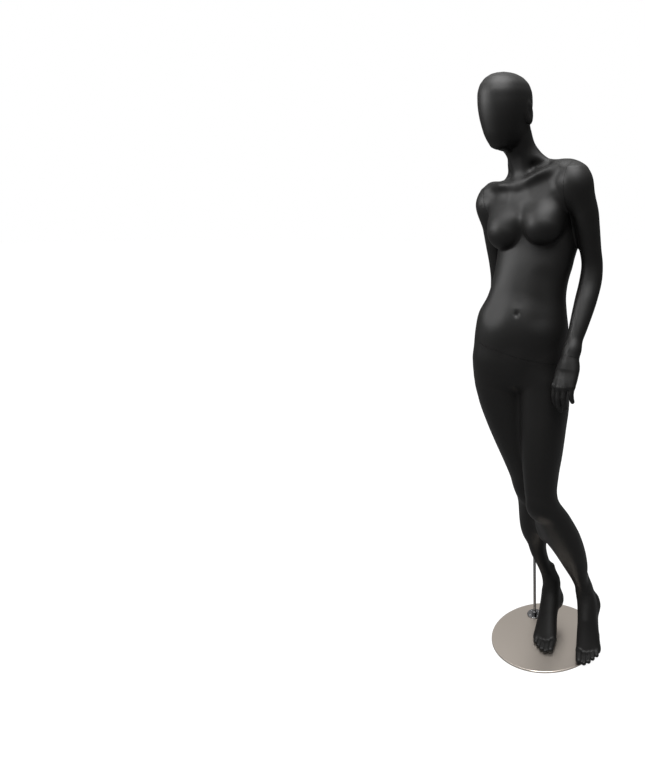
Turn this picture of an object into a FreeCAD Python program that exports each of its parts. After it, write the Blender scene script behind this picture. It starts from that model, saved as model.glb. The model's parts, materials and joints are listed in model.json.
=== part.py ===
"""Full body display mannequin: hollow fibreglass shells on a round steel base with a calf rod.

Row frame: origin at the centre of the base's underside, +Z up, the figure faces -Y,
its own left is +X.  Millimetres throughout.
"""
import FreeCAD, Part
import math
import os

os.makedirs("parts", exist_ok=True)
V = FreeCAD.Vector
UP = V(0, 0, 1)

# ---------------------------------------------------------------- driving dimensions
WALL = 4.0                      # fibreglass shell thickness
SEAM_GAP = 1.2                  # open gap between two shells at a joint
SECTION_POINTS = 16             # points around one body section

BASE_DIAMETER = 380.0
BASE_THICKNESS = 6.0
PAD_THICKNESS = 2.0
PAD_MARGIN = 8.0                # the foot pad stays this far inside the base's rim
BASE_TOP = PAD_THICKNESS + BASE_THICKNESS

ROD_PLACE = V(-68, 105, 0)
ROD_DIAMETER = 10.0
ROD_TOP = 452.0
TUBE_BOTTOM = 352.0             # lower end of the socket tube inside the right calf
ROD_RUNNING_GAP = 0.06          # radial clearance of the rod in its tube and flange
TUBE_RADIUS = ROD_DIAMETER / 2 + 1.6
FLANGE_DIAMETER = 56.0
FLANGE_THICKNESS = 4.0
COLLAR_DIAMETER = 22.0
COLLAR_HEIGHT = 16.0
FLANGE_SCREW_CIRCLE = 40.0
FLANGE_SCREW_LENGTH = 9.0
GRUB_RADIUS = 2.5               # M5 grub screw in the collar, above the base plate's top
GRUB_HEIGHT = 10.5
GRUB_SOCKET_RADIUS = 1.4
GRUB_SOCKET_DEPTH = 2.5

BOARD_THICKNESS = 12.0          # wooden closing boards at the joints
PLATE_THICKNESS = 3.0           # steel fitting plates let into the boards
SCREW_DIAMETER = 4.0
SCREW_HEAD_DIAMETER = 7.5

PLUG_THICKNESS = 14.0           # wooden plug and nylon bush in the arm's end, steel stud in the hand
BUSH_RADIUS = 6.5
STUD_RADIUS = 4.0
STUD_BEHIND = 20.0
STUD_IN_HAND = 22.0
NUT_THICKNESS = 4.0
NUT_RADIUS = 7.5

# joint frames: a point on the joint's axis and the axis, pointing into the removable piece
WAIST = (V(-77, -20, 1038), V(0.256, -0.078, 0.963))
LEFT_SHOULDER = (V(92, -32, 1521), V(0.930, -0.357, -0.087))
RIGHT_SHOULDER = (V(-178, 83, 1473), V(-0.883, 0.339, -0.326))
LEFT_WRIST = (V(97, -95, 1026), V(-0.144, -0.433, -0.890))
RIGHT_WRIST = (V(-209, 145, 975), V(0.02, -0.10, -0.995))

# body sections: x, y, z, half width, depth forwards, depth backwards, yaw in degrees
PELVIS = [
    (-82, -20, 884, 60, 52, 60, 3),
    (-82, -20, 912, 122, 80, 98, 3),
    (-81, -20, 950, 142, 92, 112, 3),
    (-80, -20, 996, 148, 98, 108, 3),
    (-77, -20, 1047, 144, 98, 98, 3),
    (-73, -19, 1097, 141, 94, 88, 3),
]
TRUNK = [
    (-82, -20, 940, 140, 92, 106, 3),
    (-80, -20, 996, 147, 98, 106, 3),
    (-77, -20, 1047, 145, 98, 98, 3),
    (-71, -19, 1097, 144, 94, 88, 3),
    (-68, -17, 1146, 136, 88, 80, 3),
    (-57, -10, 1195, 121, 83, 76, 1),
    (-48, -2, 1240, 117, 80, 77, -3),
    (-39, 8, 1290, 119, 82, 82, -8),
    (-36, 16, 1340, 124, 88, 90, -13),
    (-41, 21, 1390, 128, 88, 95, -16),
    (-44, 23, 1440, 128, 80, 92, -18),
    (-45, 21, 1485, 120, 66, 80, -20),
    (-47, 17, 1522, 90, 52, 62, -20),
    (-53, 12, 1560, 57, 45, 52, -18),
    (-67, -3, 1600, 48, 44, 47, -16),
    (-84, -20, 1650, 44, 42, 44, -16),
    (-98, -34, 1700, 40, 38, 38, -16),
]
HEAD = [
    (-113, -66, 1606, 24, 28, 34, -17),
    (-111, -59, 1622, 40, 54, 50, -17),
    (-109, -53, 1648, 55, 74, 66, -17),
    (-107, -49, 1685, 67, 87, 84, -17),
    (-106, -47, 1722, 74, 93, 97, -17),
    (-106, -46, 1757, 72, 91, 97, -17),
    (-106, -46, 1787, 59, 73, 79, -17),
    (-106, -46, 1806, 34, 42, 46, -17),
    (-106, -46, 1812, 12, 14, 16, -17),
]
# shoulder yoke: sections across the shoulders, half depth then heights above and below
YOKE = [
    (-215, 96, 1458, 30, 28, 34),
    (-190, 87, 1468, 48, 46, 58),
    (-140, 66, 1482, 56, 48, 60),
    (-92, 46, 1494, 60, 46, 58),
    (-46, 22, 1502, 60, 46, 56),
    (4, 2, 1512, 58, 46, 56),
    (54, -16, 1520, 55, 48, 58),
    (98, -33, 1526, 48, 48, 58),
    (124, -43, 1526, 30, 28, 34),
]
RIGHT_LEG = [
    (-149, -19, 985, 62, 70, 80, 3),
    (-141, -19, 940, 81, 84, 100, 3),
    (-131, -14, 872, 85, 84, 88, 3),
    (-117, -6, 800, 78, 80, 78, 3),
    (-97, 2, 720, 69, 72, 70, 3),
    (-80, 15, 645, 60, 61, 60, 3),
    (-69, 26, 585, 55, 56, 52, 3),
    (-64, 34, 545, 53, 53, 51, 3),
    (-57, 47, 500, 48, 50, 60, 3),
    (-52, 58, 440, 49, 47, 66, 3),
    (-46, 67, 370, 46, 42, 60, 3),
    (-35, 74, 290, 36, 35, 44, 3),
    (-17, 78, 220, 27, 30, 33, 3),
    (-4, 80, 165, 26, 31, 34, 3),
    (1, 82, 128, 23, 32, 34, 3),
]
LEFT_LEG = [
    (-8, -18, 950, 62, 70, 80, 0),
    (-2, -20, 920, 80, 84, 98, 0),
    (1, -26, 860, 80, 84, 88, 0),
    (2, -38, 780, 73, 80, 78, -3),
    (1, -52, 700, 65, 72, 70, -6),
    (1, -65, 630, 55, 60, 60, -8),
    (5, -76, 575, 51, 56, 52, -10),
    (12, -74, 535, 51, 50, 52, -10),
    (34, -55, 485, 55, 46, 58, -8),
    (56, -36, 430, 56, 45, 62, -4),
    (80, -14, 360, 54, 41, 55, 0),
    (102, 8, 290, 44, 35, 42, 4),
    (117, 24, 230, 33, 30, 33, 7),
    (129, 36, 180, 27, 31, 34, 8),
    (134, 42, 148, 24, 32, 34, 8),
]
# feet: sections from heel to toe tip, half width, height above, height below
RIGHT_FOOT = [
    (7, 112, 128, 18, 16, 22),
    (5, 92, 118, 27, 26, 28),
    (3, 66, 110, 28, 30, 32),
    (3, 36, 90, 29, 30, 31),
    (4, 2, 64, 33, 27, 26),
    (7, -28, 34, 39, 20, 21),
    (9, -50, 22, 40, 13, 13),
    (11, -70, 19, 36, 10, 10),
    (13, -86, 17, 22, 6, 7),
]
LEFT_FOOT = [
    (148, 80, 150, 18, 16, 22),
    (144, 62, 138, 27, 26, 28),
    (143, 38, 126, 28, 30, 32),
    (145, 10, 102, 29, 30, 31),
    (150, -24, 72, 33, 27, 26),
    (156, -53, 38, 39, 20, 22),
    (159, -75, 23, 40, 13, 14),
    (162, -96, 19, 36, 10, 10),
    (166, -113, 17, 22, 6, 7),
]
# arms: x, y, z, half width, depth forwards, depth backwards, yaw
LEFT_ARM = [
    (92, -35, 1577, 9, 10, 10, -22),
    (93, -35, 1570, 24, 26, 26, -22),
    (96, -35, 1552, 37, 40, 41, -22),
    (101, -33, 1520, 43, 47, 48, -22),
    (108, -29, 1490, 42, 47, 48, -22),
    (117, -21, 1450, 39, 44, 46, -20),
    (127, -8, 1400, 36, 41, 43, -15),
    (134, 6, 1340, 34, 37, 39, -10),
    (139, 17, 1285, 33, 35, 38, 0),
    (137, 10, 1245, 35, 35, 37, 10),
    (127, -20, 1180, 34, 34, 34, 20),
    (114, -54, 1110, 28, 29, 28, 30),
    (102, -81, 1056, 22, 24, 24, 40),
    (93, -104, 1005, 20, 26, 26, 50),
]
RIGHT_ARM = [
    (-182, 87, 1527, 9, 10, 10, -22),
    (-183, 87, 1520, 24, 26, 26, -22),
    (-186, 87, 1502, 38, 40, 41, -22),
    (-191, 90, 1470, 45, 47, 48, -22),
    (-193, 94, 1440, 43, 47, 48, -22),
    (-193, 102, 1400, 40, 44, 45, -20),
    (-189, 118, 1340, 37, 41, 42, -18),
    (-187, 138, 1280, 34, 37, 38, -14),
    (-189, 156, 1226, 33, 35, 38, -10),
    (-193, 160, 1185, 34, 35, 36, -8),
    (-201, 158, 1120, 32, 33, 33, 0),
    (-207, 153, 1050, 26, 28, 28, 10),
    (-210, 148, 1000, 21, 24, 24, 15),
    (-209, 144, 955, 20, 26, 26, 20),
]
# hands: palm sections with yaw, then finger rows (knuckle, tip, radius at knuckle, radius at tip)
LEFT_PALM = [
    (99, -92, 1037, 19, 23, 23, 52),
    (93, -106, 1008, 18, 26, 26, 52),
    (87, -118, 980, 15, 36, 30, 52),
    (79, -127, 945, 14, 40, 36, 52),
    (73, -131, 922, 12, 38, 36, 52),
]
LEFT_FINGERS = [
    (V(95, -105, 930), V(81, -116, 872), 8.5, 6.5),
    (V(81, -120, 926), V(67, -127, 858), 8.8, 6.5),
    (V(67, -135, 926), V(53, -137, 862), 8.6, 6.3),
    (V(55, -149, 930), V(45, -147, 878), 7.6, 5.8),
    (V(77, -139, 985), V(41, -161, 938), 10.5, 7.5),
]
RIGHT_PALM = [
    (-209, 146, 985, 19, 23, 23, 30),
    (-209, 143, 955, 18, 26, 26, 30),
    (-206, 139, 925, 15, 36, 30, 30),
    (-201, 134, 890, 14, 40, 36, 30),
    (-198, 131, 868, 12, 38, 36, 30),
]
RIGHT_FINGERS = [
    (V(-185, 105, 876), V(-176, 100, 816), 8.5, 6.5),
    (V(-192, 121, 872), V(-183, 115, 802), 8.8, 6.5),
    (V(-201, 138, 872), V(-191, 131, 806), 8.6, 6.3),
    (V(-208, 153, 876), V(-199, 145, 822), 7.6, 5.8),
    (V(-194, 112, 930), V(-173, 88, 886), 10.5, 7.5),
]


# ---------------------------------------------------------------- helpers
def unit(vector):
    return V(vector).normalize()


def section(centre, along, front, half_width, forwards, backwards):
    """One closed smooth body section, square to the direction `along`."""
    front = unit(front - along * front.dot(along))
    side = along.cross(front)
    points = []
    for step in range(SECTION_POINTS):
        turn = 2 * math.pi * step / SECTION_POINTS
        reach = forwards if math.sin(turn) > 0 else backwards
        points.append(centre + side * (half_width * math.cos(turn)) + front * (reach * math.sin(turn)))
    curve = Part.BSplineCurve()
    curve.interpolate(Points=points, PeriodicFlag=True)
    return Part.Wire([curve.toShape()])


def limb(rows, shrink=0.0, front=None):
    """Solid lofted through rows of sections; `shrink` makes the inner, hollow form."""
    if front is None and rows[0][2] > rows[-1][2]:
        rows = rows[::-1]
    centres = [V(*row[:3]) for row in rows]
    wires = []
    for index, row in enumerate(rows):
        before = centres[max(index - 1, 0)]
        after = centres[min(index + 1, len(rows) - 1)]
        along = unit(after - before)
        if front is None:
            yaw = math.radians(row[6])
            facing = V(math.sin(yaw), -math.cos(yaw), 0)
        else:
            facing = front
        sizes = [max(size - shrink, 2.0) for size in row[3:6]]
        centre = centres[index]
        if shrink and index == 0:
            centre = centre + unit(centres[1] - centres[0]) * shrink
        if shrink and index == len(rows) - 1:
            centre = centre + unit(centres[-2] - centres[-1]) * shrink
        wires.append(section(centre, along, facing, *sizes))
    return Part.makeLoft(wires, True, False)


def fused(solids):
    body = solids[0].multiFuse(solids[1:]) if len(solids) > 1 else solids[0]
    return largest(body)


def largest(shape):
    return max(shape.Solids, key=lambda solid: solid.Volume)


def joint_axes(frame):
    """Point, axis and two square directions of a joint frame."""
    point, axis = frame[0], unit(frame[1])
    across = unit(UP.cross(axis)) if abs(axis.z) < 0.9 else unit(V(1, 0, 0) - axis * axis.x)
    return point, axis, across


def rod(start, axis, length, radius):
    return Part.makeCylinder(radius, length, start, axis)


def rectangle(centre, half_a, half_b):
    """Flat face around a centre, from its two half sides."""
    corners = [centre + half_a * a + half_b * b for a, b in ((-1, -1), (1, -1), (1, 1), (-1, 1))]
    return Part.Face(Part.makePolygon(corners + corners[:1]))


def slab(frame, low, high, size=700.0):
    """A thick sheet square to a joint's axis, from `low` to `high` along it."""
    point, axis, across = joint_axes(frame)
    other = axis.cross(across)
    start = point + axis * low
    return rectangle(start, across * size, other * size).extrude(axis * (high - low))


def countersunk_screw(head_point, direction, length, size=1.0):
    """Countersunk screw: its head's flat is at head_point, the shank runs along direction."""
    radius = SCREW_DIAMETER / 2 * size
    head = SCREW_HEAD_DIAMETER / 2 * size
    cone = Part.makeCone(head, radius, head - radius, head_point, direction)
    return cone.fuse(rod(head_point, direction, length, radius)).removeSplitter()


def export(name, shape):
    shape.exportStep("parts/" + name + ".step")


# ---------------------------------------------------------------- base, flange and calf rod
def build_base():
    radius = BASE_DIAMETER / 2
    plate = Part.makeCylinder(radius, BASE_THICKNESS, V(0, 0, PAD_THICKNESS))
    rim = [edge for edge in plate.Edges if edge.BoundBox.ZMin > BASE_TOP - 0.1]
    plate = plate.makeFillet(1.5, rim)
    pad = Part.makeCylinder(radius - PAD_MARGIN, PAD_THICKNESS)

    foot = ROD_PLACE + V(0, 0, BASE_TOP)
    flange = Part.makeCylinder(FLANGE_DIAMETER / 2, FLANGE_THICKNESS, foot)
    rim = [edge for edge in flange.Edges if edge.BoundBox.ZMin > BASE_TOP + FLANGE_THICKNESS - 0.1]
    flange = flange.makeFillet(1.2, rim)
    collar = Part.makeCylinder(COLLAR_DIAMETER / 2, COLLAR_HEIGHT, foot)
    collar_top = [edge for edge in collar.Edges if edge.BoundBox.ZMin > BASE_TOP + COLLAR_HEIGHT - 0.1]
    flange = flange.fuse(collar.makeFillet(1.5, collar_top)).removeSplitter()
    flange = flange.cut(rod(foot, UP, COLLAR_HEIGHT + 1, ROD_DIAMETER / 2 + ROD_RUNNING_GAP))

    screws = []
    for quarter in range(4):
        turn = math.radians(45 + 90 * quarter)
        place = foot + V(math.cos(turn), math.sin(turn), 0) * (FLANGE_SCREW_CIRCLE / 2)
        screws.append(countersunk_screw(place + V(0, 0, FLANGE_THICKNESS), UP * -1, FLANGE_SCREW_LENGTH))
    screws = Part.makeCompound(screws)
    flange = largest(flange.cut(screws))
    plate = largest(plate.cut(screws))

    # the grub screw's thread runs through the collar's rear wall and stops at the rod
    grub_height = BASE_TOP + GRUB_HEIGHT
    grub_start = V(ROD_PLACE.x, ROD_PLACE.y + ROD_DIAMETER / 2 + 0.4, grub_height)
    grub_end = ROD_PLACE.y + COLLAR_DIAMETER / 2 + 1.0
    grub = rod(grub_start, V(0, 1, 0), grub_end - grub_start.y, GRUB_RADIUS)
    corners = []
    for k in range(7):
        turn = math.radians(60 * k)
        spoke = V(math.cos(turn), 0, math.sin(turn)) * GRUB_SOCKET_RADIUS
        corners.append(V(grub_start.x, grub_end, grub_height) + spoke)
    grub = grub.cut(Part.Face(Part.makePolygon(corners)).extrude(V(0, -GRUB_SOCKET_DEPTH, 0)))
    tapped_hole = rod(grub_start - V(0, 1, 0), V(0, 1, 0), COLLAR_DIAMETER, GRUB_RADIUS + ROD_RUNNING_GAP)
    flange = largest(flange.cut(tapped_hole))

    calf_rod = Part.makeCylinder(ROD_DIAMETER / 2, ROD_TOP - BASE_TOP, foot)
    rod_end = [edge for edge in calf_rod.Edges if edge.BoundBox.ZMin > ROD_TOP - 0.1]
    calf_rod = calf_rod.makeChamfer(1.0, rod_end)
    export("base_plate", plate)
    export("base_foot_pad", pad)
    export("rod_flange", flange)
    export("flange_screws", screws)
    export("collar_grub_screw", grub)
    export("calf_rod", calf_rod)


# ---------------------------------------------------------------- joint hardware
def fitting(frame, size, board_reach, names, outer_inner, carrier_inner):
    """Twist lock joint: boards, socket plate, key plate with its T key, and screws.

    The socket side belongs to the piece behind the seam, the key side to the removable piece.
    `size` scales the fitting and the boards reach `board_reach` from its axis.  `outer_inner`
    is the hollow form of the removable piece, `carrier_inner` that of the piece behind the seam.
    """
    point, axis, across = joint_axes(frame)
    other = axis.cross(across)
    gap = SEAM_GAP / 2
    plate_radius = 30.0 * size
    post_radius = 7.0 * size
    key_radius = 3.0 * size
    key_reach = 16.0 * size
    key_depth = BOARD_THICKNESS + gap + key_radius + 1.5

    behind_seam = rod(point - axis * (gap + BOARD_THICKNESS), axis, BOARD_THICKNESS, board_reach)
    beyond_seam = rod(point + axis * gap, axis, BOARD_THICKNESS, board_reach)
    socket_board = largest(carrier_inner.common(behind_seam))
    key_board = largest(outer_inner.common(beyond_seam))

    socket_plate = rod(point - axis * (gap + PLATE_THICKNESS), axis, PLATE_THICKNESS, plate_radius)
    key_plate = rod(point + axis * gap, axis, PLATE_THICKNESS, plate_radius)
    post = rod(point + axis * gap, axis * -1, key_depth + key_radius + gap + 2, post_radius)
    bar_centre = point - axis * key_depth
    bar = rod(bar_centre - across * key_reach, across, 2 * key_reach, key_radius)
    key = largest(post.fuse(bar).removeSplitter())

    turning_room = rod(point - axis * (gap + 60), axis, 60, key_reach + 2.0)
    socket_board = largest(socket_board.cut(turning_room.fuse(socket_plate)))
    slot = rod(point - axis * (gap + 10), axis, 20, post_radius + 0.05)
    slot_half = key_radius + 0.4
    slot_wide = key_reach + 0.6
    keyway = rectangle(point - axis * 10, other * slot_wide, across * slot_half).extrude(axis * 20)
    socket_plate = largest(socket_plate.cut(slot.fuse(keyway)))
    key_board = largest(key_board.cut(key_plate))

    screw_length = BOARD_THICKNESS - 2.0
    socket_screws = []
    key_screws = []
    for quarter in range(4):
        turn = math.radians(45 + 90 * quarter)
        spot = point + (across * math.cos(turn) + other * math.sin(turn)) * (plate_radius * 0.78)
        socket_screws.append(countersunk_screw(spot - axis * gap, axis * -1, screw_length, size))
        key_screws.append(countersunk_screw(spot + axis * gap, axis, screw_length, size))
    socket_screws = Part.makeCompound(socket_screws)
    key_screws = Part.makeCompound(key_screws)
    export(names + "_socket_board", largest(socket_board.cut(socket_screws)))
    export(names + "_socket_plate", largest(socket_plate.cut(socket_screws)))
    export(names + "_socket_screws", socket_screws)
    export(names + "_key_board", largest(key_board.cut(key_screws)))
    export(names + "_key_plate", largest(key_plate.cut(key_screws)))
    export(names + "_key_screws", key_screws)
    export(names + "_key", key)


def wrist_stud(frame, name, arm_inner, hand):
    """Wrist joint: a plug in the arm's end with a bush, and a stud moulded into the hand."""
    point, axis, _ = joint_axes(frame)
    gap = SEAM_GAP / 2
    plug_foot = point - axis * (gap + PLUG_THICKNESS)
    stud_foot = point - axis * (gap + STUD_BEHIND)
    stud = rod(stud_foot, axis, STUD_BEHIND + gap + STUD_IN_HAND, STUD_RADIUS)
    bush = rod(plug_foot, axis, PLUG_THICKNESS, BUSH_RADIUS)
    bush = bush.cut(rod(stud_foot, axis, 2 * STUD_BEHIND, STUD_RADIUS + ROD_RUNNING_GAP))
    nut = rod(stud_foot + axis, axis, NUT_THICKNESS, NUT_RADIUS).cut(stud)
    plug = largest(arm_inner.common(slab(frame, -gap - PLUG_THICKNESS, -gap)))
    plug = largest(plug.cut(rod(plug_foot, axis, PLUG_THICKNESS + 1, BUSH_RADIUS)))
    hand = largest(hand.cut(stud))
    export(name + "_wrist_plug", plug)
    export(name + "_wrist_bush", bush)
    export(name + "_wrist_stud", stud)
    export(name + "_wrist_nut", nut)
    return hand


# ---------------------------------------------------------------- shells
def foot_and_leg(leg, foot, shrink=0.0):
    return [limb(leg, shrink), limb(foot, shrink, front=UP)]


def build_lower_body():
    outer = fused([limb(PELVIS)] + foot_and_leg(RIGHT_LEG, RIGHT_FOOT) + foot_and_leg(LEFT_LEG, LEFT_FOOT))
    inner = fused([limb(PELVIS, WALL)] + foot_and_leg(RIGHT_LEG, RIGHT_FOOT, WALL)
                  + foot_and_leg(LEFT_LEG, LEFT_FOOT, WALL))
    above_waist = slab(WAIST, -SEAM_GAP / 2, 900)
    shell = outer.cut(above_waist).cut(inner)

    # socket tube for the rod: it comes in through the back of the right calf
    tube_length = ROD_TOP + 4.0 - TUBE_BOTTOM
    tube_foot = ROD_PLACE + V(0, 0, TUBE_BOTTOM)
    bore = rod(tube_foot, UP, tube_length - 3.4, ROD_DIAMETER / 2 + ROD_RUNNING_GAP)
    tube = rod(tube_foot, UP, tube_length, TUBE_RADIUS)
    clearance = rod(ROD_PLACE + V(0, 0, 100), UP, TUBE_BOTTOM - 100, TUBE_RADIUS)
    shell = largest(shell.cut(tube.fuse(clearance)))
    tube = tube.cut(bore)
    return shell, inner, tube


def build_upper_body():
    outer = fused([limb(TRUNK), limb(HEAD), limb(YOKE, front=UP)])
    inner = fused([limb(TRUNK, WALL), limb(HEAD, WALL), limb(YOKE, WALL, front=UP)])
    shell = outer.cut(slab(WAIST, -900, SEAM_GAP / 2))
    for shoulder in (LEFT_SHOULDER, RIGHT_SHOULDER):
        shell = shell.cut(slab(shoulder, -SEAM_GAP / 2, 400, 110))
    return largest(shell.cut(inner)), inner


def build_arm(rows, shoulder, wrist):
    outer = limb(rows)
    inner = limb(rows, WALL)
    shell = outer.cut(slab(shoulder, -400, SEAM_GAP / 2, 300)).cut(slab(wrist, -SEAM_GAP / 2, 200, 120))
    return largest(shell.cut(inner)), inner


def build_hand(palm_rows, fingers, wrist):
    solids = [limb(palm_rows)]
    for knuckle, tip, thick, thin in fingers:
        length = (tip - knuckle).Length
        solids.append(Part.makeCone(thick, thin, length, knuckle, tip - knuckle))
        solids.append(Part.makeSphere(thick, knuckle))
        solids.append(Part.makeSphere(thin, tip))
    return largest(fused(solids).cut(slab(wrist, -200, SEAM_GAP / 2, 120)))


# ---------------------------------------------------------------- assembly
build_base()
lower_shell, lower_inner, calf_tube = build_lower_body()
export("lower_body_shell", lower_shell)
export("calf_socket_tube", calf_tube)
upper_shell, upper_inner = build_upper_body()
export("upper_body_shell", upper_shell)
fitting(WAIST, 1.3, 250.0, "waist", upper_inner, lower_inner)
for side, arm_rows, shoulder, wrist, palm, fingers in (
        ("left", LEFT_ARM, LEFT_SHOULDER, LEFT_WRIST, LEFT_PALM, LEFT_FINGERS),
        ("right", RIGHT_ARM, RIGHT_SHOULDER, RIGHT_WRIST, RIGHT_PALM, RIGHT_FINGERS)):
    arm_shell, arm_inner = build_arm(arm_rows, shoulder, wrist)
    export(side + "_arm_shell", arm_shell)
    fitting(shoulder, 0.8, 62.0, side + "_shoulder", arm_inner, upper_inner)
    hand = build_hand(palm, fingers, wrist)
    export(side + "_hand", wrist_stud(wrist, side, arm_inner, hand))
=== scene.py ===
"""Full body display mannequin in satin black fibreglass on a round brushed steel base.

The figure's skin is one smooth field: lofted torso and limbs with the anatomy's masses
blended on.  The field is sampled on a grid, meshed, drawn onto the exact surface and cut
at the real seams, so every shell is its own piece.  Metres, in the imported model's frame:
the figure faces -Y and its own left is +X.
"""
import bpy
import bmesh
import json
import math
import numpy as np
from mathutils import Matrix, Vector

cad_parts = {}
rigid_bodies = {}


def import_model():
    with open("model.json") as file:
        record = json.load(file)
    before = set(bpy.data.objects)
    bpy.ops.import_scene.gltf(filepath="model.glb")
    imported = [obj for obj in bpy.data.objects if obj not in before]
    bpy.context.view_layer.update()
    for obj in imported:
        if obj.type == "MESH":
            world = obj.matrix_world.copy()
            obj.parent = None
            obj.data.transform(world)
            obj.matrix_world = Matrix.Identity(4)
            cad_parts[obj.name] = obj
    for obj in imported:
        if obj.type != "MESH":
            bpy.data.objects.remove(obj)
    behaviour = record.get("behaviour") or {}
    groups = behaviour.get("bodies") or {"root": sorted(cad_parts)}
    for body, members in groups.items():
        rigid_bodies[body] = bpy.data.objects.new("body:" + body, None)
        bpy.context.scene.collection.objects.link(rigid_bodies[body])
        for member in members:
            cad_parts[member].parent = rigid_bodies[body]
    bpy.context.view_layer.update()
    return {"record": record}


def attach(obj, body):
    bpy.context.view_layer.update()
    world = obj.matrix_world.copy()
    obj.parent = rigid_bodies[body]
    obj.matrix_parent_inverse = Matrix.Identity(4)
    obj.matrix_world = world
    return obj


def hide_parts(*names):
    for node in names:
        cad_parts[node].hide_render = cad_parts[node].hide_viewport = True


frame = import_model()

MM = 0.001
FAR = 9.0                       # metres: beyond anything in the model
SEAM_GAP = 0.8 * MM
VOXEL_BODY = 3.6 * MM
VOXEL_ARM = 2.6 * MM
VOXEL_HAND = 1.5 * MM
CORNERS = [(a, b, c) for a in (0, 1) for b in (0, 1) for c in (0, 1)]
JOINTS = {joint["name"]: joint for joint in frame["record"]["behaviour"]["joints"]}


def seam(joint_name):
    """A point on the joint's axis in metres and the axis, which points into the removable piece."""
    joint = JOINTS[joint_name]
    axis = np.array(joint["axis"], float)
    return np.array(joint["pos_m"], float), axis / np.linalg.norm(axis)


# ---------------------------------------------------------------- the field's primitives
def smooth_union(a, b, blend):
    h = np.maximum(blend - np.abs(a - b), 0.0) / blend
    return np.minimum(a, b) - h * h * blend * 0.25


def smooth_cut(a, b, blend):
    return -smooth_union(-a, b, blend)


class Loft:
    """Rounded sections stacked along Z: rows of x, y, z, half width, depth forwards,
    depth backwards (mm) and yaw (degrees).  A roundness of 2 is an ellipse, more is squarer."""

    def __init__(self, rows, blend, roundness=2.2, local=None):
        rows = np.array(sorted(rows, key=lambda row: row[2]), float)
        self.axes = np.eye(3) if local is None else local.axes
        self.origin = np.zeros(3) if local is None else local.origin * MM
        rows[:, :6] *= MM
        self.z = rows[:, 2]
        self.values = rows[:, [0, 1, 3, 4, 5, 6]]
        step = np.diff(self.z)[:, None]
        slope = np.diff(self.values, axis=0) / step
        self.tangent = np.vstack([slope[:1], (slope[:-1] * step[1:] + slope[1:] * step[:-1])
                                  / (step[1:] + step[:-1]), slope[-1:]])
        self.roundness = roundness
        self.blend = blend
        reach = rows[:, 3:6].max(axis=1)
        low = np.array([(rows[:, 0] - reach).min(), (rows[:, 1] - reach).min(), self.z[0]])
        high = np.array([(rows[:, 0] + reach).max(), (rows[:, 1] + reach).max(), self.z[-1]])
        corners = np.where(CORNERS, high, low) @ self.axes + self.origin
        self.low, self.high = corners.min(0), corners.max(0)

    def section(self, z):
        """The rows' values at heights z, as a smooth (Hermite) curve through the rows."""
        z = np.clip(z, self.z[0], self.z[-1])
        i = np.clip(np.searchsorted(self.z, z) - 1, 0, len(self.z) - 2)
        width = (self.z[i + 1] - self.z[i])[:, None]
        t = (z - self.z[i])[:, None] / width
        return ((1 + 2 * t) * (1 - t) ** 2 * self.values[i] + t * (1 - t) ** 2 * width * self.tangent[i]
                + t * t * (3 - 2 * t) * self.values[i + 1] + t * t * (t - 1) * width * self.tangent[i + 1])

    def __call__(self, p):
        p = (p - self.origin) @ self.axes.T
        s = self.section(p[:, 2])
        yaw = np.radians(s[:, 5])
        dx, dy = p[:, 0] - s[:, 0], p[:, 1] - s[:, 1]
        across = dx * np.cos(yaw) + dy * np.sin(yaw)
        back = dy * np.cos(yaw) - dx * np.sin(yaw)
        half = np.maximum(s[:, 2], 1e-4)
        depth = np.maximum(np.where(back < 0, s[:, 3], s[:, 4]), 1e-4)
        n = self.roundness
        ratio = (np.abs(across / half) ** n + np.abs(back / depth) ** n) ** (1 / n) + 1e-9
        radius = np.sqrt(across ** 2 + back ** 2)
        wall = np.where(ratio < 0.35, -np.minimum(half, depth) * (1 - ratio), radius * (1 - 1 / ratio))
        end = np.maximum(p[:, 2] - self.z[-1], self.z[0] - p[:, 2])
        outside = np.sqrt(np.maximum(wall, 0) ** 2 + np.maximum(end, 0) ** 2)
        return np.where(end > 0, outside, np.maximum(wall, end))


class Blob:
    """Ellipsoid: centre and radii in mm, turned into a local frame's axes."""

    def __init__(self, centre, radii, blend, axes=None):
        self.centre = np.array(centre, float) * MM
        self.radii = np.array(radii, float) * MM
        self.axes = np.eye(3) if axes is None else axes
        self.blend = blend
        self.low = self.centre - self.radii.max()
        self.high = self.centre + self.radii.max()

    def __call__(self, p):
        q = (p - self.centre) @ self.axes.T
        a = np.linalg.norm(q / self.radii, axis=1) + 1e-9
        g = np.linalg.norm(q / self.radii ** 2, axis=1) + 1e-9
        return a * (a - 1) / g


class SoftTop(Blob):
    """Ellipsoid that blends crisply at its underside and softly above: the two blends in metres."""

    def __init__(self, centre, radii, crisp, soft, axes):
        super().__init__(centre, radii, soft, axes)
        self.crisp, self.soft = crisp, soft

    def blend_at(self, p):
        height = (p - self.centre) @ self.axes[2] / self.radii[2]
        share = np.clip((height + 0.75) / 1.5, 0, 1)
        return self.crisp + (self.soft - self.crisp) * share * share * (3 - 2 * share)


class Bone:
    """Chain of tapered capsules through points x, y, z, radius in mm."""

    def __init__(self, points, blend):
        points = np.array(points, float) * MM
        self.points, self.radii, self.blend = points[:, :3], points[:, 3], blend
        self.low = self.points.min(0) - self.radii.max()
        self.high = self.points.max(0) + self.radii.max()

    def __call__(self, p):
        nearest = np.full(len(p), FAR)
        for a, b, ra, rb in zip(self.points[:-1], self.points[1:], self.radii[:-1], self.radii[1:]):
            d = b - a
            t = np.clip((p - a) @ d / (d @ d), 0, 1)
            nearest = np.minimum(nearest, np.linalg.norm(p - a - t[:, None] * d, axis=1) - (ra + (rb - ra) * t))
        return nearest


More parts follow.
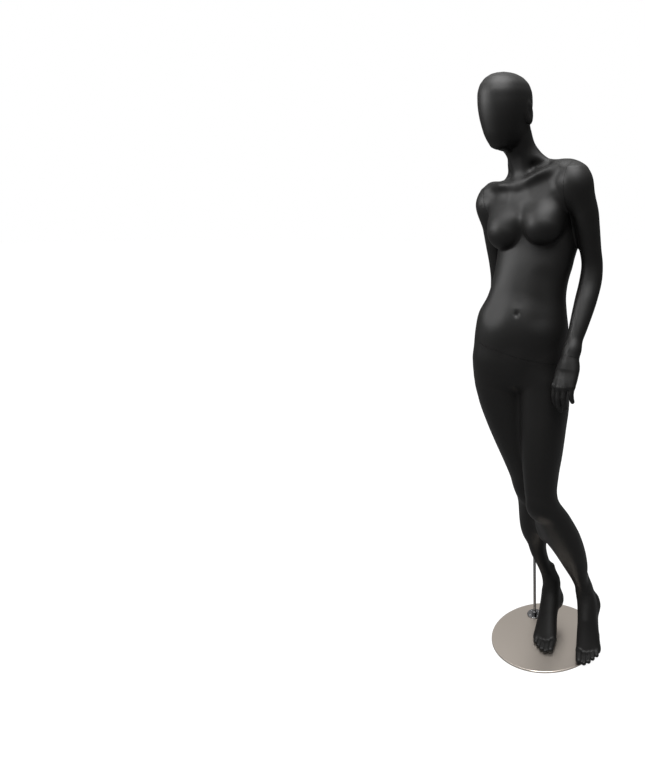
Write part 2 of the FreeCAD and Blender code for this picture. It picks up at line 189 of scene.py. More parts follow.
class Below:
    """Everything below a height in mm: cut away, it leaves flat soles."""

    def __init__(self, height, blend):
        self.height, self.blend = height * MM, blend
        self.low, self.high = np.full(3, -FAR), np.array([FAR, FAR, self.height])

    def __call__(self, p):
        return p[:, 2] - self.height


class Local:
    """A local frame on the body: origin in mm and axes left, back and up; the turns in degrees."""

    def __init__(self, origin, yaw=0, roll=0, pitch=0):
        turn = [math.radians(v) for v in (yaw, roll, pitch)]
        cz, sz, cr, sr, cp, sp = [f(v) for v in turn for f in (math.cos, math.sin)]
        z_turn = np.array([[cz, -sz, 0], [sz, cz, 0], [0, 0, 1]])
        y_turn = np.array([[cr, 0, -sr], [0, 1, 0], [sr, 0, cr]])
        x_turn = np.array([[1, 0, 0], [0, cp, sp], [0, -sp, cp]])
        self.axes = (z_turn @ y_turn @ x_turn).T
        self.origin = np.array(origin, float)

    def at(self, x, y, z):
        return self.origin + np.array([x, y, z], float) @ self.axes

    def blob(self, centre, radii, blend):
        return Blob(self.at(*centre), radii, blend, self.axes)

    def bone(self, points, blend):
        return Bone([list(self.at(*point[:3])) + [point[3]] for point in points], blend)


ADD, CUT = "add", "cut"


def field(parts, p, low=None, high=None, reach=0.03):
    """Value of the blended parts at points p; parts away from the box low..high are skipped."""
    value = np.full(len(p), 1.0)
    for action, part in parts:
        margin = reach + part.blend
        if low is not None and ((low > part.high + margin).any() or (high < part.low - margin).any()):
            continue
        if action == ADD:
            blend = part.blend_at(p) if isinstance(part, SoftTop) else part.blend
            value = smooth_union(value, part(p), blend)
        else:
            value = smooth_cut(value, part(p), part.blend)
    return value


# ---------------------------------------------------------------- field to mesh
BLOCK = 14                      # voxels along one side of a block
CLUMP = 60 * MM                 # side of the boxes whose points are moved together
LONGEST_STEP = 2 * MM
SMALLEST_SLOPE = 0.2
SHARP_ANGLE = math.radians(50)


def sample(parts, low, high, voxel):
    """Grid of field values: only the blocks near the surface are worked out in full."""
    low = np.array(low, float)
    blocks = np.ceil((np.array(high) - low) / (voxel * BLOCK)).astype(int)
    grid = np.full(tuple(blocks * BLOCK + 1), 1.0, np.float32)
    index = np.stack(np.meshgrid(*[np.arange(n) for n in blocks], indexing="ij"), -1).reshape(-1, 3)
    centres = low + (index + 0.5) * BLOCK * voxel
    middle = field(parts, centres)
    half_diagonal = BLOCK * voxel * 0.5 * math.sqrt(3)
    near = np.abs(middle) < half_diagonal * 1.5 + 0.010
    steps = np.arange(BLOCK + 1)
    local = np.stack(np.meshgrid(steps, steps, steps, indexing="ij"), -1).reshape(-1, 3)
    for block in index[~near & (middle < 0)]:
        start = block * BLOCK
        grid[tuple(slice(a, a + BLOCK + 1) for a in start)] = -1.0
    for block in index[near]:
        start = block * BLOCK
        points = low + (start + local) * voxel
        values = field(parts, points, points[0], points[-1])
        grid[tuple(slice(a, a + BLOCK + 1) for a in start)] = values.reshape((BLOCK + 1,) * 3)
    return grid


def surface_net(grid, low, voxel):
    """One vertex in each cell that the surface crosses, one quad on each crossing edge."""
    inside = grid < 0
    shape = np.array(grid.shape) - 1
    count = sum(inside[a:shape[0] + a, b:shape[1] + b, c:shape[2] + c].astype(np.uint8) for a, b, c in CORNERS)
    cells = np.argwhere((count > 0) & (count < 8))
    number = np.full(tuple(shape), -1, np.int64)
    number[tuple(cells.T)] = np.arange(len(cells))
    total = np.zeros((len(cells), 3))
    hits = np.zeros(len(cells))
    for a in CORNERS:
        for b in CORNERS:
            if a < b and sum(abs(i - j) for i, j in zip(a, b)) == 1:
                fa = grid[tuple((cells + a).T)]
                fb = grid[tuple((cells + b).T)]
                crossing = (fa < 0) != (fb < 0)
                t = (fa / (fa - fb + 1e-20))[crossing, None]
                total[crossing] += np.array(a) + t * (np.array(b) - np.array(a))
                hits[crossing] += 1
    points = np.array(low) + (cells + total / hits[:, None]) * voxel
    quads = []
    for axis in range(3):
        u, w = (axis + 1) % 3, (axis + 2) % 3
        first = [slice(None)] * 3
        second = [slice(None)] * 3
        first[axis], second[axis] = slice(0, -1), slice(1, None)
        edge = np.argwhere(inside[tuple(first)] != inside[tuple(second)])
        edge = edge[(edge[:, u] > 0) & (edge[:, w] > 0) & (edge[:, u] < shape[u]) & (edge[:, w] < shape[w])]
        starts_inside = inside[tuple(edge.T)]
        ring = []
        for du, dw in ((1, 1), (0, 1), (0, 0), (1, 0)):
            cell = edge.copy()
            cell[:, u] -= du
            cell[:, w] -= dw
            ring.append(number[tuple(cell.T)])
        quad = np.stack(ring, 1)
        quad[~starts_inside] = quad[~starts_inside][:, ::-1]
        quads.append(quad)
    return points, np.concatenate(quads)


def draw_on(parts, points, passes=3, step=0.4 * MM):
    """Newton steps onto the exact surface, worked out in spatial clumps."""
    clump = np.floor(points / CLUMP).astype(int)
    order = np.lexsort(clump.T)
    changes = np.any(np.diff(clump[order], axis=0) != 0, axis=1)
    for group in np.split(order, np.where(changes)[0] + 1):
        p = points[group]
        for _ in range(passes):
            low, high = p.min(0), p.max(0)
            value = field(parts, p, low, high)
            slope = np.stack([field(parts, p + shift, low, high) - value for shift in np.eye(3) * step], 1) / step
            size = np.maximum((slope ** 2).sum(1), SMALLEST_SLOPE)
            move = -value[:, None] * slope / size[:, None]
            length = np.linalg.norm(move, axis=1, keepdims=True)
            p = p + move * np.minimum(1, LONGEST_STEP / np.maximum(length, 1e-9))
        points[group] = p
    return points


def skin(name, parts, low, high, voxel, cuts):
    """Mesh object of a field between low and high, cut at seam planes.  Each cut is a point, a normal
    and a reach: what lies beyond the plane, within reach of the normal's line, goes."""
    grid = sample(parts, low, high, voxel)
    points, quads = surface_net(grid, low, voxel)
    points = draw_on(parts, points)
    mesh = bpy.data.meshes.new(name)
    mesh.from_pydata(points.tolist(), [], quads.tolist())
    bm = bmesh.new()
    bm.from_mesh(mesh)
    for point, normal, reach in cuts:
        cut_flat(bm, point, normal, reach)
    keep_largest(bm)
    bmesh.ops.recalc_face_normals(bm, faces=bm.faces)
    bm.to_mesh(mesh)
    bm.free()
    for polygon in mesh.polygons:
        polygon.use_smooth = True
    mesh.set_sharp_from_angle(angle=SHARP_ANGLE)
    piece = bpy.data.objects.new(name, mesh)
    bpy.context.scene.collection.objects.link(piece)
    return piece


def cut_flat(bm, point, normal, reach):
    """Removes what lies beyond the plane within reach of its centre line, and closes the shell there."""
    normal, centre = Vector(normal), Vector(point)

    def near(vert):
        offset = vert.co - centre
        return (offset - normal * offset.dot(normal)).length < reach

    verts = [vert for vert in bm.verts if near(vert)]
    chosen = set(verts)
    edges = [edge for edge in bm.edges if edge.verts[0] in chosen and edge.verts[1] in chosen]
    faces = [face for face in bm.faces if all(vert in chosen for vert in face.verts)]
    made = bmesh.ops.bisect_plane(bm, geom=verts + edges + faces, dist=1e-6, plane_co=centre, plane_no=normal,
                                  clear_outer=True)
    rim = [item for item in made["geom_cut"] if isinstance(item, bmesh.types.BMEdge)]
    if rim:
        bmesh.ops.edgeloop_fill(bm, edges=rim)


def keep_largest(bm):
    """Deletes loose crumbs, if a cut left any."""
    seen = set()
    islands = []
    for start in bm.verts:
        if start in seen:
            continue
        stack, island = [start], []
        seen.add(start)
        while stack:
            vert = stack.pop()
            island.append(vert)
            for edge in vert.link_edges:
                other = edge.other_vert(vert)
                if other not in seen:
                    seen.add(other)
                    stack.append(other)
        islands.append(island)
    islands.sort(key=len)
    for island in islands[:-1]:
        bmesh.ops.delete(bm, geom=island, context="VERTS")


# ---------------------------------------------------------------- torso and head
TRUNK_ROUNDNESS = 2.35
LIMB_ROUNDNESS = 2.1
HEAD_ROUNDNESS = 2.15
TRUNK = [
    (-77, -16, 900, 60, 40, 70, 3),
    (-79, -18, 926, 118, 74, 100, 3),
    (-80, -20, 960, 141, 90, 108, 3),
    (-79, -20, 996, 148, 97, 106, 3),
    (-76, -20, 1047, 145, 97, 97, 3),
    (-71, -19, 1097, 144, 94, 88, 3),
    (-68, -17, 1146, 136, 88, 81, 2),
    (-57, -10, 1195, 121, 83, 77, 0),
    (-48, -2, 1240, 117, 80, 77, -3),
    (-38, 8, 1290, 120, 78, 82, -8),
    (-34, 16, 1340, 123, 73, 89, -13),
    (-39, 22, 1390, 125, 73, 94, -16),
    (-43, 24, 1440, 126, 70, 91, -18),
    (-45, 22, 1480, 119, 58, 78, -20),
    (-49, 17, 1515, 86, 42, 62, -20),
    (-50, 13, 1550, 48, 33, 52, -18),
    (-61, 2, 1590, 39, 32, 44, -16),
    (-79, -15, 1640, 40, 33, 42, -16),
    (-97, -34, 1700, 40, 36, 40, -16),
]
CHEST_ROWS = 9                  # rows of TRUNK, from the top, that an arm is blended with
SHOULDER_ROWS = 4               # rows of an arm, from the top, that the torso is blended with
YOKE = [
    (-186, 72, 1466, 44), (-140, 60, 1475, 47), (-92, 46, 1487, 48), (-46, 28, 1497, 50),
    (4, 8, 1508, 51), (54, -16, 1519, 49), (96, -37, 1523, 43),
]
LEFT_DELTOID = ((95, -36, 1513), (42, 45, 57))
RIGHT_DELTOID = ((-190, 84, 1466), (43, 48, 58))
SHOULDER_YAW = -22
SPINE = [
    (-79, 52, 1062), (-76, 65, 1110), (-70, 64, 1146), (-57, 67, 1195), (-43, 75, 1240),
    (-26, 89, 1290), (-13, 103, 1340), (-11, 112, 1390), (-13, 113, 1435), (-16, 116, 1470),
]
HEAD = [
    (0, -38, -98, 13, 20, 40, 0),
    (0, -35, -93, 25, 30, 50, 0),
    (0, -29, -82, 36, 42, 60, 0),
    (0, -23, -64, 47, 56, 71, 0),
    (0, -15, -36, 58, 70, 84, 0),
    (0, -9, -5, 66, 79, 95, 0),
    (0, -5, 30, 69, 82, 98, 0),
    (0, -4, 56, 66, 78, 95, 0),
    (0, -3, 77, 56, 66, 81, 0),
    (0, -3, 91, 40, 48, 60, 0),
    (0, -3, 98, 24, 29, 36, 0),
    (0, -3, 101, 9, 10, 14, 0),
]


def trunk_parts(rows):
    return [(ADD, Loft(rows, 0.02, TRUNK_ROUNDNESS)), (ADD, Bone(YOKE, 0.05))]


def torso_parts():
    parts = trunk_parts(TRUNK)
    for side, rows in ((1, LEFT_ARM), (-1, RIGHT_ARM)):
        parts += chest_parts(side) + [(ADD, Loft(rows[:SHOULDER_ROWS], 0.02, LIMB_ROUNDNESS))]
        parts += shoulder_parts(side)
    return parts + neck_parts() + waist_parts()


def chest_parts(side):
    """Chest muscle, breast and shoulder blade of one side (+1 its left)."""
    chest = Local((-41, 20, 1390), yaw=-16, roll=7, pitch=6)
    return [
        (ADD, chest.blob((side * 62, -42, 54), (46, 22, 56), 0.045)),
        (ADD, SoftTop(chest.at(side * 65, -53, -2), (60, 55, 56), 0.005, 0.045, chest.axes)),
        (ADD, chest.blob((side * 64, 50, 22), (58, 29, 66), 0.07)),
    ]


# per side, +1 its left: where the neck's cord meets the skull, and the top of the shoulder
GIRDLE = Local((-73, -28, 1524), yaw=-21, roll=10)
SKULL = {1: np.array((-68.0, -34.0, 1690.0)), -1: np.array((-113.0, -14.0, 1684.0))}
SHOULDER_TOP = {1: (74, -14, 1558), -1: (-160, 74, 1502)}
SHOULDER_SLOPE = {1: 31, -1: -4}        # height of the trapezius's middle in the girdle's frame


def shoulder_parts(side):
    """Deltoid, clavicle and trapezius of one side (+1 its left), with the hollows beside the clavicle.
    The arm is built over the same parts, so that it meets the body at the seam."""
    centre, radii = LEFT_DELTOID if side > 0 else RIGHT_DELTOID
    column = (SKULL[side] + GIRDLE.at(0, 0, 0)) / 2 + np.array([side * 2, 40, 4])
    return [
        (ADD, Blob(centre, radii, 0.03, Local((0, 0, 0), SHOULDER_YAW).axes)),
        (ADD, GIRDLE.bone([(side * 14, 4, -4, 6), (side * 34, 0, 0, 6), (side * 66, 1, 6, 6.5),
                           (side * 100, 18, 13, 7), (side * 132, 37, 15, 9)], 0.028)),
        (ADD, Bone([list(column) + [15], list(GIRDLE.at(side * 66, 52, SHOULDER_SLOPE[side])) + [21],
                    list(SHOULDER_TOP[side]) + [20]], 0.045)),
        (CUT, GIRDLE.bone([(side * 60, -27, -24, 5), (side * 100, -15, -18, 6)], 0.034)),
        (CUT, GIRDLE.bone([(side * 48, 16, 38, 5), (side * 88, 28, 42, 6)], 0.026)),
    ]


def neck_parts():
    """The two cords from the top of the breastbone to behind the ears."""
    parts = []
    for side in (1, -1):
        start = GIRDLE.at(side * 8, 18, -8)
        skull = SKULL[side]
        parts.append((ADD, Bone([list(start) + [4], list((start + skull) / 2) + [5.5], list(skull) + [8]], 0.03)))
    return parts


def waist_parts():
    """Flanks, the muscles beside the spine, the belly and the navel."""
    belly = Local((-67, -17, 1150), yaw=3, roll=-4)
    parts = []
    for side in (1, -1):
        parts += [
            (CUT, belly.bone([(side * 72, -100, 110, 6), (side * 72, -104, 0, 8)], 0.06)),
            (ADD, Bone([(x + side * 28, y - 24 - side * 5, z, 20) for x, y, z in SPINE], 0.025)),
        ]
    parts += [
        (ADD, belly.blob((0, -44, -50), (76, 46, 72), 0.05)),
        (CUT, belly.bone([(2, -107, 44, 5), (2, -103, 120, 5)], 0.03)),
        (CUT, belly.bone([(2, -97, 9, 3.5), (2, -95, 0, 4)], 0.010)),
        (ADD, belly.bone([(-5, -88, -6, 4), (2, -88, -9, 4.5), (9, -88, -6, 4)], 0.008)),
        (CUT, Bone([(x, y + 8, z, 5) for x, y, z in SPINE if z > 1140], 0.03)),
    ]
    return parts


def head_parts():
    head = Local((-104, -44, 1713), yaw=-16, pitch=-6)
    parts = [
        (ADD, Loft(HEAD, 0.010, HEAD_ROUNDNESS, head)),
        (ADD, head.blob((0, 20, -58), (48, 56, 44), 0.03)),
    ]
    for side in (1, -1):
        parts += [
            (ADD, head.blob((side * 66, 16, -8), (8, 17, 29), 0.008)),
            (CUT, head.blob((side * 75, 12, -4), (5, 8, 17), 0.008)),
        ]
    return parts


# ---------------------------------------------------------------- pelvis, legs and feet
RIGHT_LEG = [
    (-146, -16, 985, 62, 70, 78, 3),
    (-142, -17, 940, 80, 82, 96, 3),
    (-132, -13, 872, 84, 83, 88, 3),
    (-118, -6, 800, 78, 79, 79, 3),
    (-100, 4, 720, 69, 70, 72, 3),
    (-83, 16, 645, 60, 60, 62, 3),
    (-72, 27, 590, 55, 55, 53, 3),
    (-67, 34, 552, 53, 53, 50, 3),
    (-60, 45, 505, 47, 49, 56, 3),
    (-49, 57, 440, 43, 46, 63, 3),
    (-49, 67, 370, 38, 41, 58, 3),
    (-45, 74, 290, 28, 33, 40, 3),
    (-20, 78, 220, 22, 27, 30, 3),
    (0, 80, 165, 24, 28, 30, 3),
    (6, 82, 132, 22, 28, 28, 3),
]
LEFT_LEG = [
    (-14, -18, 1010, 58, 78, 76, 0),
    (-6, -20, 960, 73, 86, 86, 0),
    (-1, -22, 920, 78, 84, 92, 0),
    (1, -27, 860, 79, 82, 88, 0),
    (1, -38, 780, 72, 79, 78, -3),
    (1, -52, 700, 64, 71, 70, -6),
    (1, -65, 630, 55, 60, 60, -8),
    (4, -74, 575, 50, 54, 52, -10),
    (13, -75, 535, 51, 50, 51, -10),
    (37, -56, 485, 56, 46, 57, -8),
    (60, -37, 430, 57, 45, 61, -4),
    (82, -15, 360, 54, 41, 54, 0),
    (101, 8, 290, 42, 34, 40, 4),
    (114, 24, 230, 27, 27, 30, 7),
    (125, 36, 182, 22, 27, 29, 8),
    (134, 42, 152, 22, 28, 28, 8),
]


# foot's frame: x to the big toe, y to the heel, z up, from the ball of the foot on the base
RAYS = [                        # ball end of each long bone: x, y, z, radius, rise at the ankle
    (24, 0, 13, 13, 3), (10, -2, 13, 12.5, 6), (-6, 2, 12, 12, 4), (-21, 9, 10.5, 11, 0), (-31, 17, 9.5, 10, -4),
]
TOES = [                        # root x, root y, tip x, length, radius at the root, radius at the tip
    (27, -4, 25, 55, 11.5, 10.5), (9, -8, 8, 56, 8.6, 8.0), (-6, -3, -7, 51, 8.2, 7.6),
    (-20, 5, -20, 43, 7.8, 7.2), (-33, 13, -33, 33, 7.6, 7.0),
]
SOLE_HEIGHT = 8.6               # the base plate's top is at 8


def foot_parts(heel, ankle, ball, yaw, m):
    """Raised heel foot from three points in mm: m is +1 where the big toe is on the +X side, else -1."""
    foot = Local(ball, yaw=yaw)
    hx, hy, hz = foot.axes @ (np.array(heel, float) - np.array(ball, float))
    ax, ay, az = foot.axes @ (np.array(ankle, float) - np.array(ball, float))
    parts = [
        (ADD, foot.blob((hx, hy, hz - 2), (27, 30, 29), 0.02)),
        (ADD, foot.blob((hx + 1 * m, hy - 20, hz - 6), (27, 32, 25), 0.02)),
        (ADD, foot.bone([(ax, ay + 17, az + 56, 6), (hx, hy + 12, hz + 10, 11)], 0.03)),
        (ADD, foot.bone([(hx - 9 * m, hy - 12, hz - 12, 15), (-25 * m, 30, 15, 12), (-30 * m, 6, 4, 10.5)], 0.02)),
        (ADD, foot.bone([(ax, ay - 2, az + 10, 17), (ax, ay - 5, az - 4, 20), (ax * 0.7, ay - 22, az - 30, 21),
                         (ax * 0.35 + 4 * m, ay - 58, az - 76, 18), (9 * m, 22, 24, 15)], 0.03)),
        (ADD, foot.blob((ax + 12 * m, ay + 2, az + 2), (7, 11, 13), 0.025)),
        (ADD, foot.blob((ax - 10 * m, ay + 8, az - 10), (7, 11, 14), 0.025)),
    ]
    for x, y, z, radius, rise in RAYS:
        start = (ax * 0.7 + x * m * 0.34, ay - 12, az - 26 + rise)
        middle = (ax * 0.3 + x * m * 0.64, (ay - 12 + y) * 0.5, (az - 26 + z) * 0.47 + rise)
        parts.append((ADD, foot.bone([start + (12.5,), middle + (12,), (x * m, y, z - 1, radius)], 0.022)))
    for x0, y0, x1, length, thick, thin in TOES:
        root = (x0 * m, y0, thick, thick)
        knuckle = ((x0 + x1) / 2 * m, y0 - length * 0.5, thick + 3, thick * 0.95)
        tip = (x1 * m, y0 - length + thin * 0.4, thin - 0.5, thin)
        parts.append((ADD, foot.bone([root, knuckle, tip], 0.005)))
    return parts


def lower_parts():
    """Pelvis, buttocks, legs and feet."""
    belly = Local((-75, -19, 1010), yaw=3, roll=-9)
    parts = [
        (ADD, Loft(RIGHT_LEG, 0.024, LIMB_ROUNDNESS)),
        (ADD, Loft(LEFT_LEG, 0.016, LIMB_ROUNDNESS)),
        (ADD, belly.blob((3, -49, 15), (76, 54, 90), 0.006)),
        (ADD, belly.blob((-2, 0, -58), (44, 60, 44), 0.014)),
        (ADD, belly.blob((-68, 36, -70), (70, 66, 76), 0.04)),
        (ADD, belly.blob((66, 36, -62), (70, 66, 76), 0.04)),
        (CUT, Bone([(-79, 101, 990, 3), (-78, 95, 950, 5), (-75, 88, 905, 6), (-72, 74, 868, 7)], 0.02)),
    ]
    right_knee = Local((-62, 34, 552), yaw=3)
    left_knee = Local((2, -76, 548), yaw=-12, pitch=-16)
    for knee, right_head, left_head in ((right_knee, -16, 14), (left_knee, -20, 26)):
        parts += [
            (ADD, knee.blob((0, -31, -6), (26, 15, 34), 0.03)),
            (CUT, knee.blob((0, 64, 0), (12, 14, 40), 0.03)),
            (ADD, knee.blob((right_head, 30, -118), (26, 28, 80), 0.04)),
            (ADD, knee.blob((left_head, 32, -112), (26, 28, 76), 0.04)),
        ]
    parts += foot_parts((14, 88, 102), (1, 80, 165), (9, -36, 8), 4.5, 1)
    parts += foot_parts((151, 60, 124), (130, 38, 178), (159, -62, 8), 8.0, -1)
    return parts + [(CUT, Below(SOLE_HEIGHT, 0.003))]


# ---------------------------------------------------------------- arms and hands
LEFT_ARM = [
    (89, -37, 1556, 30, 34, 34, -22),
    (95, -35, 1520, 41, 45, 46, -22),
    (107, -31, 1490, 41, 45, 46, -22),
    (119, -22, 1450, 39, 43, 45, -20),
    (127, -9, 1400, 35, 40, 42, -15),
    (134, 5, 1340, 32, 36, 38, -10),
    (139, 15, 1290, 32, 34, 37, 0),
    (137, 10, 1250, 34, 34, 35, 10),
    (128, -16, 1190, 34, 34, 34, 20),
    (115, -51, 1120, 29, 29, 29, 30),
    (103, -79, 1060, 22, 24, 24, 40),
    (97, -95, 1026, 18, 23, 23, 48),
    (93, -104, 1000, 17, 24, 24, 50),
]
RIGHT_ARM = [
    (-186, 85, 1506, 31, 34, 36, -22),
    (-191, 84, 1470, 43, 46, 47, -22),
    (-192, 88, 1440, 41, 46, 47, -22),
    (-191, 98, 1400, 37, 43, 44, -20),
    (-189, 114, 1340, 35, 40, 41, -18),
    (-189, 136, 1280, 34, 36, 38, -14),
    (-192, 152, 1235, 33, 34, 37, -10),
    (-195, 157, 1190, 34, 34, 35, -8),
    (-201, 156, 1120, 31, 32, 32, 0),
    (-207, 152, 1050, 25, 27, 27, 10),
    (-210, 148, 1003, 19.5, 23, 23, 15),
    (-209, 145, 975, 18, 23, 23, 20),
    (-209, 143, 950, 17, 24, 24, 22),
]


FINGERS = [                     # knuckle x, y, z, length and radius, from the index to the little finger
    (28, 0, 84, 66, 9.0), (9, 3, 88, 74, 9.3), (-10, 2, 85, 66, 9.0), (-31, -3, 78, 48, 8.2),
]
BONES = [                       # share of the finger's length, bend in degrees, share of its radius at the end
    (0.46, 16, 0.96), (0.29, 20, 0.92), (0.25, 16, 0.80),
]
THUMB = [(17, -4, 16, 13), (33, -12, 44, 11), (38, -19, 74, 9.2), (36, -25, 98, 7.6)]


def hand_frame(wrist, down, back, thumb_side):
    """Local frame at the wrist: axes to the thumb side, to the back of the hand and down.
    thumb_side is +1 for a left hand and -1 for a right one."""
    down = np.array(down, float) / np.linalg.norm(down)
    back = np.array(back, float) - down * np.dot(back, down)
    back /= np.linalg.norm(back)
    local = Local(wrist)
    local.axes = np.stack([np.cross(down, back) * thumb_side, back, down])
    return local


def hand_parts(hand):
    """Relaxed hand: palm, the thumb's and little finger's pads, curled fingers and the thumb."""
    parts = [
        (ADD, hand.bone([(0, 0, -26, 20), (1, -2, 10, 18)], 0.03)),
        (ADD, hand.blob((-1, -3, 46), (35, 13, 46), 0.02)),
        (ADD, hand.blob((22, -10, 34), (15, 13, 28), 0.016)),
        (ADD, hand.blob((-21, -8, 48), (11, 11, 34), 0.02)),
    ]
    for x, y, z, length, radius in FINGERS:
        parts.append((ADD, hand.bone([(x * 0.45, 2, 10, 11), (x, y, z, radius + 0.8)], 0.012)))
        point = np.array([x, y, z], float)
        bend = 0.0
        chain = [tuple(point) + (radius,)]
        for share, curl, thin in BONES:
            bend += math.radians(curl)
            step = np.array([-x * 0.001, -math.sin(bend), math.cos(bend)])
            point = point + step * length * share
            chain.append(tuple(point) + (radius * thin,))
        parts.append((ADD, hand.bone(chain, 0.004)))
    return parts + [(ADD, hand.bone(THUMB, 0.010))]


LEFT_HAND = hand_frame((97, -96, 1022), (-0.18, -0.38, -0.93), (-0.45, -1.0, 0.4), 1)
# known fault: the right hand has a left hand's thumb side, so its thumb points back
RIGHT_HAND = hand_frame((-209, 144, 970), (0.14, -0.16, -1.0), (-0.9, 0.5, 0.0), 1)


def arm_parts(rows, side, hand):
    torso = trunk_parts(TRUNK[-CHEST_ROWS:]) + chest_parts(side)
    return torso + [(ADD, Loft(rows, 0.02, LIMB_ROUNDNESS))] + shoulder_parts(side) + hand_parts(hand)


# ---------------------------------------------------------------- materials
GRAIN_DEPTH = 0.0004


def material(name, colour, metallic, roughness):
    made = bpy.data.materials.new(name)
    made.use_nodes = True
    shader = made.node_tree.nodes["Principled BSDF"]
    shader.inputs["Base Color"].default_value = (*colour, 1)
    shader.inputs["Metallic"].default_value = metallic
    shader.inputs["Roughness"].default_value = roughness
    return made, made.node_tree.nodes, made.node_tree.links, shader


def noise_into(nodes, links, shader, scale, socket, low, high, detail=4, stretch=(1, 1, 1)):
    """Procedural noise between low and high feeding one socket; returns the noise node."""
    place = nodes.new("ShaderNodeTexCoord")
    mapping = nodes.new("ShaderNodeMapping")
    mapping.inputs["Scale"].default_value = stretch
    noise = nodes.new("ShaderNodeTexNoise")
    noise.inputs["Scale"].default_value = scale
    noise.inputs["Detail"].default_value = detail
    spread = nodes.new("ShaderNodeMapRange")
    spread.inputs["To Min"].default_value = low
    spread.inputs["To Max"].default_value = high
    links.new(place.outputs["Object"], mapping.inputs["Vector"])
    links.new(mapping.outputs["Vector"], noise.inputs["Vector"])
    links.new(noise.outputs["Fac"], spread.inputs["Value"])
    links.new(spread.outputs["Result"], shader.inputs[socket])
    return noise


def bump(nodes, links, shader, noise, strength):
    node = nodes.new("ShaderNodeBump")
    node.inputs["Strength"].default_value = strength
    node.inputs["Distance"].default_value = GRAIN_DEPTH
    links.new(noise.outputs["Fac"], node.inputs["Height"])
    links.new(node.outputs["Normal"], shader.inputs["Normal"])


def black_shell_material():
    """Satin black lacquer with a very fine orange peel."""
    made, nodes, links, shader = material("satin_black_shell", (0.005, 0.0048, 0.0046), 0.0, 0.42)
    shader.inputs["Specular IOR Level"].default_value = 0.24
    grain = noise_into(nodes, links, shader, 900, "Roughness", 0.46, 0.56)
    bump(nodes, links, shader, grain, 0.10)
    return made


def brushed_material():
    """Warm brushed steel, its brushing along X."""
    made, nodes, links, shader = material("brushed_base_steel", (0.60, 0.54, 0.48), 1.0, 0.38)
    lines = noise_into(nodes, links, shader, 60, "Roughness", 0.30, 0.46, 6, (1, 40, 1))
    bump(nodes, links, shader, lines, 0.12)
    return made


def simple_material(name, colour, metallic, low, high, scale=120, stretch=(1, 1, 1)):
    """Plain finish whose roughness wanders between low and high."""
    made, nodes, links, shader = material(name, colour, metallic, (low + high) / 2)
    noise = noise_into(nodes, links, shader, scale, "Roughness", low, high, 5, stretch)
    bump(nodes, links, shader, noise, 0.06)
    return made


SHELL = black_shell_material()
FINISHES = {
    "black_shell": SHELL,
    "brushed_base": brushed_material(),
    "foot_pad": simple_material("foot_pad_rubber", (0.03, 0.03, 0.03), 0.0, 0.7, 0.85),
    "board_wood": simple_material("birch_board", (0.55, 0.40, 0.25), 0.0, 0.5, 0.7, 30, (1, 1, 12)),
    # bright_chrome's base colour of 0.24 is far darker than chrome's own: painted dark reflection, standing in for
    # the dark surroundings that the chrome rod mirrors
    "bright_chrome": simple_material("bright_chrome", (0.24, 0.24, 0.245), 1.0, 0.06, 0.14),
    "bush_nylon": simple_material("nylon_bush", (0.80, 0.79, 0.74), 0.0, 0.4, 0.5),
    "plain_steel": simple_material("fitting_steel", (0.58, 0.58, 0.60), 1.0, 0.25, 0.36),
}
for row in frame["record"]["subparts"]:
    mesh = bpy.data.objects[row["node"]].data
    mesh.materials.clear()
    mesh.materials.append(FINISHES[row["material_slot"]])


# ---------------------------------------------------------------- the shells
# a seam's reach in metres: the shoulder planes must not cut into the chest or the head
WIDE = 2.0
SHOULDER_REACH = 0.105
WRIST_MARGIN = 0.03             # height above the wrist at which a hand's own grid starts
UPPER_BOX = (-0.26, -0.20, 0.93), (0.19, 0.19, 1.86)
LOWER_BOX = (-0.27, -0.22, -0.01), (0.26, 0.20, 1.14)
LEFT_BOX = (0.03, -0.20, 0.83), (0.20, 0.10, 1.61)
RIGHT_BOX = (-0.28, 0.02, 0.76), (-0.12, 0.23, 1.56)


def part_plane(joint_name, side, reach=WIDE):
    """Plane of a seam, moved half the gap to one side; side +1 keeps what is behind the seam."""
    point, axis = seam(joint_name)
    return point - axis * side * SEAM_GAP / 2, axis * side, reach


def finish_shell(piece, body, node):
    piece.data.materials.append(SHELL)
    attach(piece, body)
    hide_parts(node)


BODY = torso_parts() + lower_parts()
upper = skin("upper_body_skin", BODY + head_parts(), *UPPER_BOX, VOXEL_BODY,
             [part_plane("waist_turn", -1), part_plane("left_shoulder_turn", 1, SHOULDER_REACH),
              part_plane("right_shoulder_turn", 1, SHOULDER_REACH)])
finish_shell(upper, "upper_body", "upper_body_shell")
lower = skin("lower_body_skin", BODY, *LOWER_BOX, VOXEL_BODY, [part_plane("waist_turn", 1)])
finish_shell(lower, "lower_body", "lower_body_shell")
for side, sign, rows, hand, (low, high) in (("left", 1, LEFT_ARM, LEFT_HAND, LEFT_BOX),
                                            ("right", -1, RIGHT_ARM, RIGHT_HAND, RIGHT_BOX)):
    parts = arm_parts(rows, sign, hand)
    shoulder, wrist = side + "_shoulder_turn", side + "_wrist_turn"
    arm = skin(side + "_arm_skin", parts, low, high, VOXEL_ARM, [part_plane(shoulder, -1), part_plane(wrist, 1)])
    finish_shell(arm, side + "_arm", side + "_arm_shell")
    top = seam(wrist)[0][2] + WRIST_MARGIN
    palm = skin(side + "_hand_skin", parts, low, (high[0], high[1], top), VOXEL_HAND, [part_plane(wrist, -1)])
    finish_shell(palm, side + "_hand", side + "_hand")


# ---------------------------------------------------------------- floor, light and camera
FLOOR_REACH = 60.0
FLOOR_LIT = 0.22                # the floor's tone where it lights the figure
FLOOR_SEEN = 0.16               # and its tone and glow where the camera sees it
FLOOR_GLOW = 0.92
WHITE = (1, 1, 1, 1)


def grey(tone):
    return (tone, tone, tone, 1)


